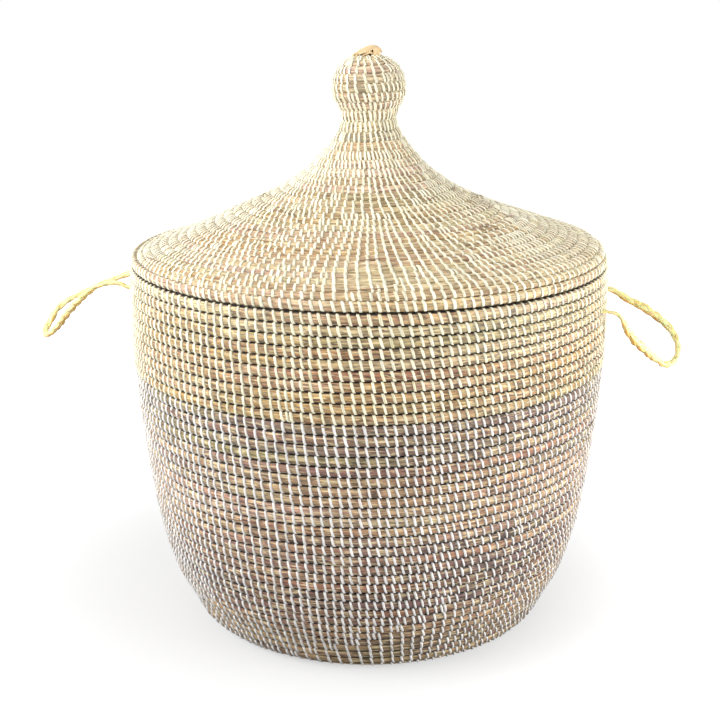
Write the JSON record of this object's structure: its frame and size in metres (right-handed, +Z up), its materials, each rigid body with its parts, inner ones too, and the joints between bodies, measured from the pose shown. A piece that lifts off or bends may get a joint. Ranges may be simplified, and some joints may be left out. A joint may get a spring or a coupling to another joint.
{
  "type": "lidded grass storage basket",
  "caption": "Round coiled grass storage basket with a bell-shaped lift-off lid, a ball knob and a braided loop handle on each side.",
  "frame": {"origin": "centre of the flat base, on the surface that the basket stands on", "axes": "+Z up through the knob, which is the longest extent without the loose handle loops; +X towards the right handle, -X towards the left one, -Y towards the viewer"},
  "size_m": [0.5781, 0.411, 0.492],
  "materials": {
    "floor_grass": "coiled grass with pale stitches, matte",
    "white_stitched_grass": "coiled mauve-brown grass with white stitches, matte",
    "cream_stitched_grass": "coiled tan grass with ivory stitches, matte",
    "ring_grass": "coiled grass with ivory stitches, matte",
    "wad_grass": "loose packed grass, matte",
    "tip_raffia": "knotted raffia strip, satin",
    "braid_raffia": "braided yellow raffia, satin"
  },
  "bodies": {
    "basket": {"base_coil": "floor_grass", "lower_wall": "white_stitched_grass", "upper_wall": "cream_stitched_grass", "rim_coil": "cream_stitched_grass", "right_front_handle_leg": "braid_raffia", "right_back_handle_leg": "braid_raffia", "left_front_handle_leg": "braid_raffia", "left_back_handle_leg": "braid_raffia"},
    "lid": {"lid_rim_coil": "cream_stitched_grass", "lid_shoulder": "cream_stitched_grass", "lid_cone": "cream_stitched_grass", "lid_neck": "cream_stitched_grass", "lid_locating_ring": "ring_grass", "knob_coil": "cream_stitched_grass", "knob_core": "wad_grass", "knob_tie": "tip_raffia"},
    "right_handle": {"right_handle_loop": "braid_raffia"},
    "left_handle": {"left_handle_loop": "braid_raffia"}
  },
  "joints": [
    {"name": "lid_lift", "type": "slide", "parent": "basket", "child": "lid", "axis": [0, 0, 1], "range_m": [0, 0.25]},
    {"name": "right_handle_swing", "type": "hinge", "parent": "basket", "child": "right_handle", "pos_m": [0.2115, 0, 0.285], "axis": [0, -1, 0], "range_deg": [-30, 126]},
    {"name": "left_handle_swing", "type": "hinge", "parent": "basket", "child": "left_handle", "pos_m": [-0.2115, 0, 0.285], "axis": [0, 1, 0], "range_deg": [-40, 108]}
  ]
}
